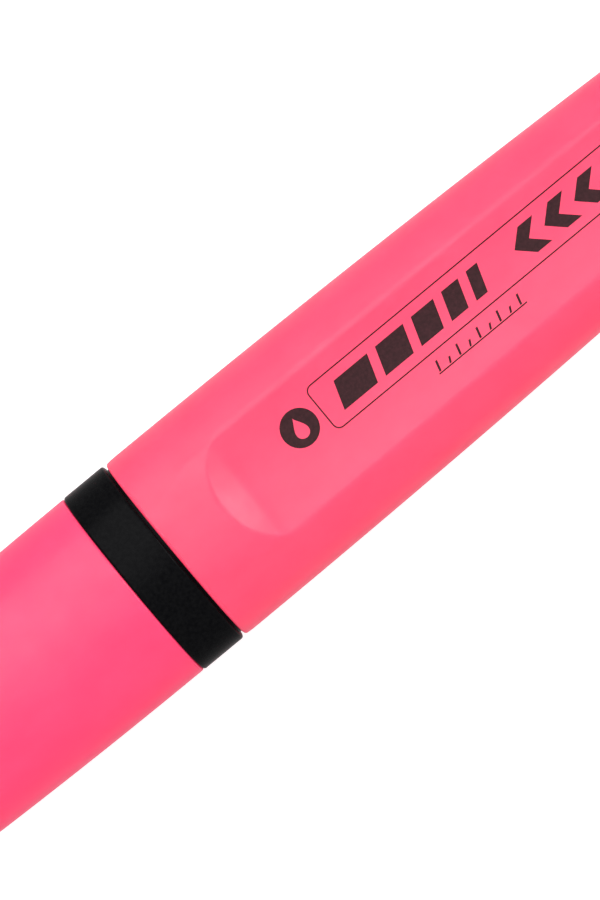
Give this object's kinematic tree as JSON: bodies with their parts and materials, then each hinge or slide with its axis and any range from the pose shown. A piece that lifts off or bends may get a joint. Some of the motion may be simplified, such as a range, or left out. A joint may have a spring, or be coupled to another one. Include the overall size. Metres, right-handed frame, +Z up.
{
  "type": "highlighter pen",
  "caption": "Flat oval highlighter with a pull-off cap, a black collar, a flared black nose and a slanted chisel nib, capped and lying on its face.",
  "frame": {"origin": "middle of the bounding box of the capped pen, on the surface it lies on", "axes": "+X along the pen from the tail to the cap, +Y across its width, +Z up out of the printed face"},
  "size_m": [0.116, 0.025, 0.016],
  "materials": {
    "body_pink": "satin",
    "cap_pink": "satin",
    "collar_black": "fine matt texture",
    "nose_black": "polished",
    "nib_fibre": "bonded fibre, wet with ink",
    "ink_fibre": "loose fibre bundle, soaked with ink",
    "film": "thin wrapping film",
    "seal_white": "natural white"
  },
  "bodies": {
    "pen": {"barrel": "body_pink", "tail_plug": "body_pink", "collar": "collar_black", "nib_holder": "nose_black", "nib": "nib_fibre", "reservoir_fibre": "ink_fibre", "reservoir_film": "film"},
    "cap": {"cap_shell": "cap_pink", "inner_cap": "seal_white"}
  },
  "joints": [
    {"name": "cap_pull", "type": "slide", "parent": "pen", "child": "cap", "axis": [1, 0, 0], "range_m": [0, 0.04]}
  ]
}
